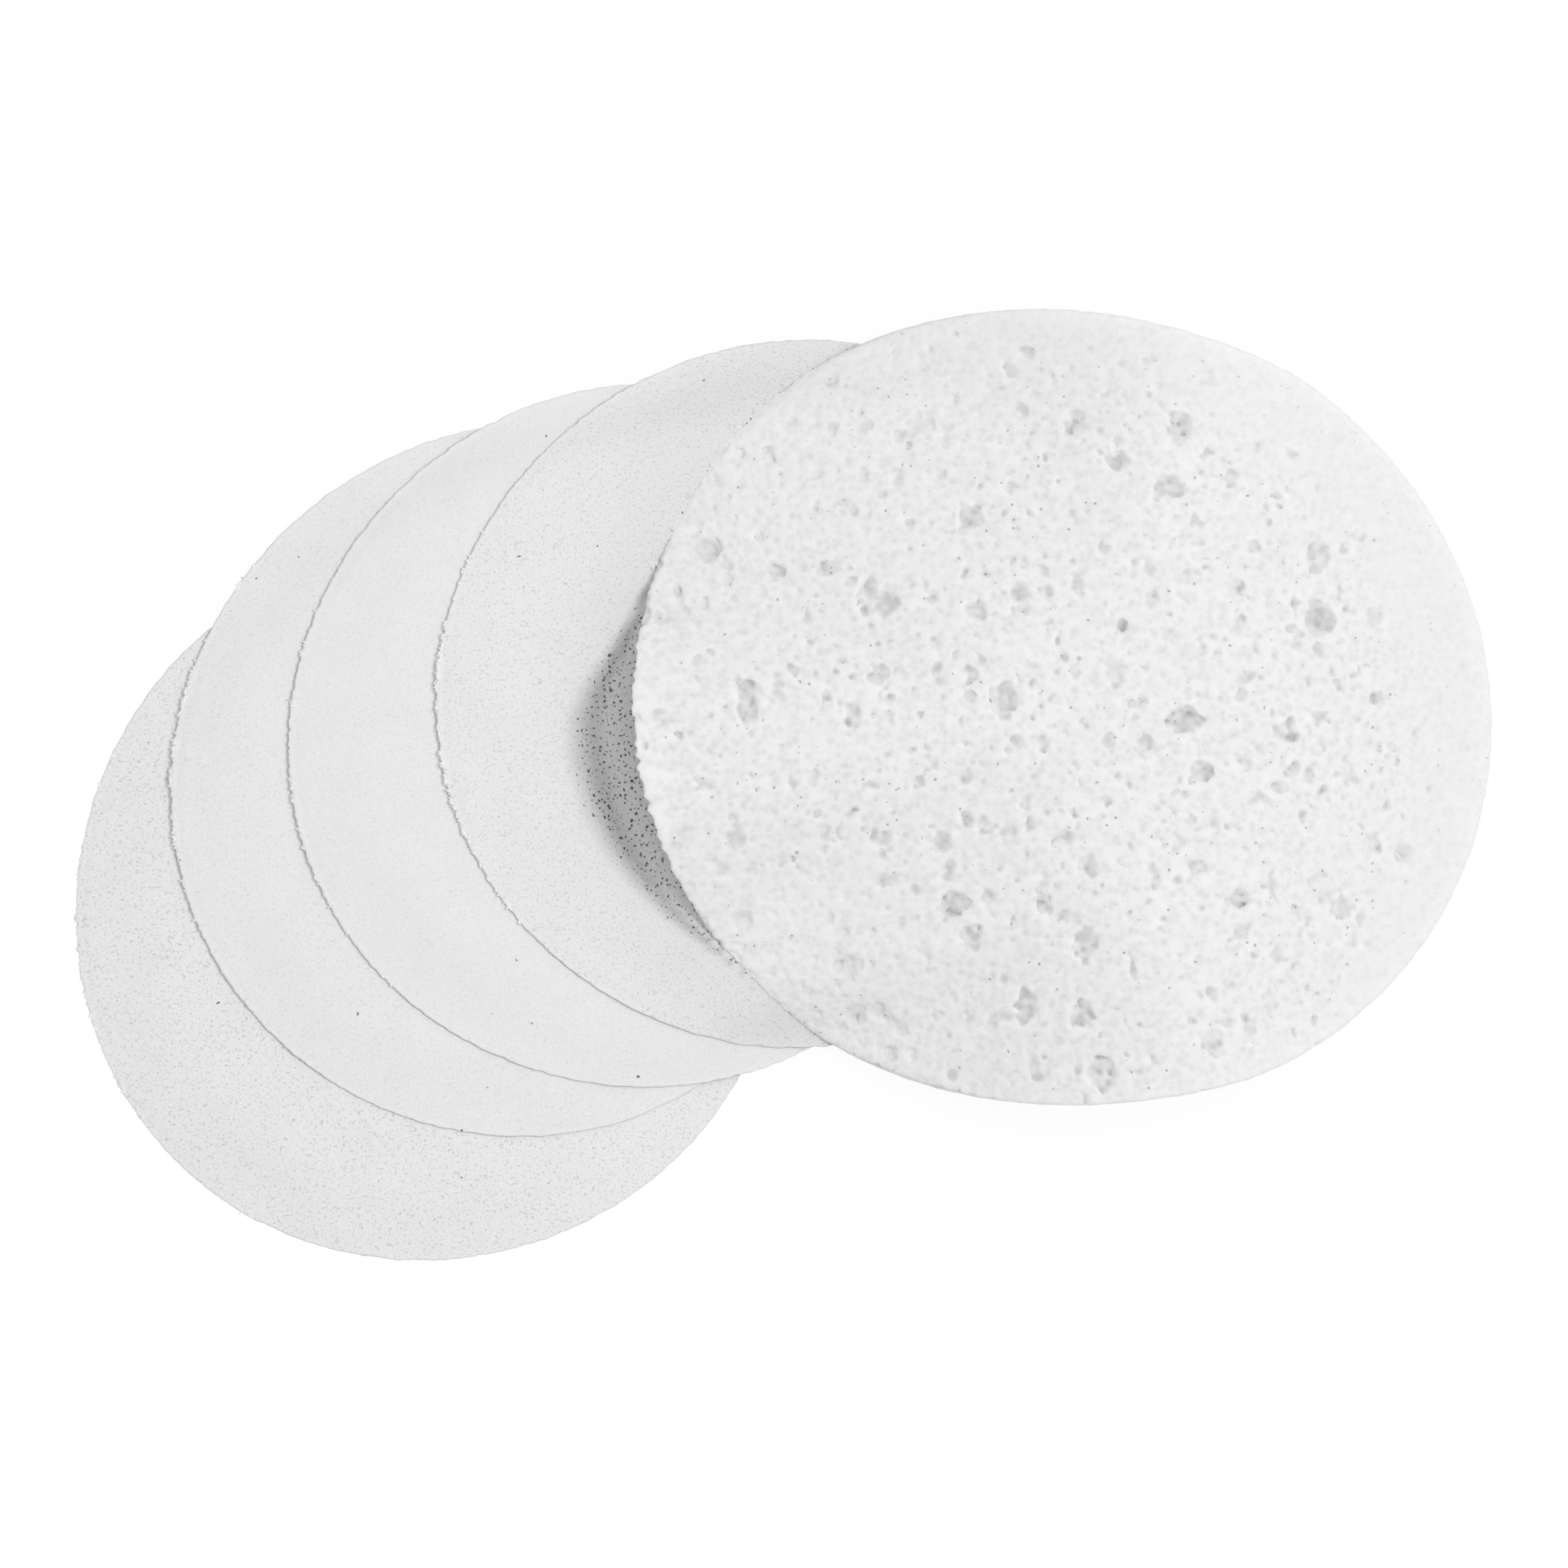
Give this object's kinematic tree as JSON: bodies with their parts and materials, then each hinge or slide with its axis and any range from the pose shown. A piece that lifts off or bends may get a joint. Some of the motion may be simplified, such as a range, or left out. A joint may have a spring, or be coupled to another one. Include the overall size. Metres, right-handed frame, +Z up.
{
  "type": "facial sponge set",
  "caption": "Fanned pile of thin round pressed cellulose facial sponges with a swollen, open-pored one lying on top.",
  "frame": {"origin": "on the table, under the middle of the whole pile's box", "axes": "+X to the picture's right, along the fan towards the swollen sponge; +Y to the picture's top; +Z up, off the table"},
  "size_m": [0.1504, 0.1008, 0.0164],
  "materials": {
    "pressed_cellulose": "matt, fine-grained and card-like, with pinholes",
    "swollen_cellulose": "matt, soft, open-celled sponge"
  },
  "bodies": {
    "pressed_1": {"pressed_sponge_1": "pressed_cellulose"},
    "pressed_2": {"pressed_sponge_2": "pressed_cellulose"},
    "pressed_3": {"pressed_sponge_3": "pressed_cellulose"},
    "pressed_4": {"pressed_sponge_4": "pressed_cellulose"},
    "swollen": {"swollen_sponge": "swollen_cellulose"}
  },
  "joints": [
    {"name": "lift_pressed_2", "type": "slide", "parent": "pressed_1", "child": "pressed_2", "axis": [0, 0, 1], "range_m": [0, 0.03]},
    {"name": "lift_pressed_3", "type": "slide", "parent": "pressed_2", "child": "pressed_3", "axis": [0, 0, 1], "range_m": [0, 0.03]},
    {"name": "lift_pressed_4", "type": "slide", "parent": "pressed_3", "child": "pressed_4", "axis": [0, 0, 1], "range_m": [0, 0.03]},
    {"name": "lift_swollen", "type": "slide", "parent": "pressed_4", "child": "swollen", "axis": [0, 0, 1], "range_m": [0, 0.03]}
  ]
}
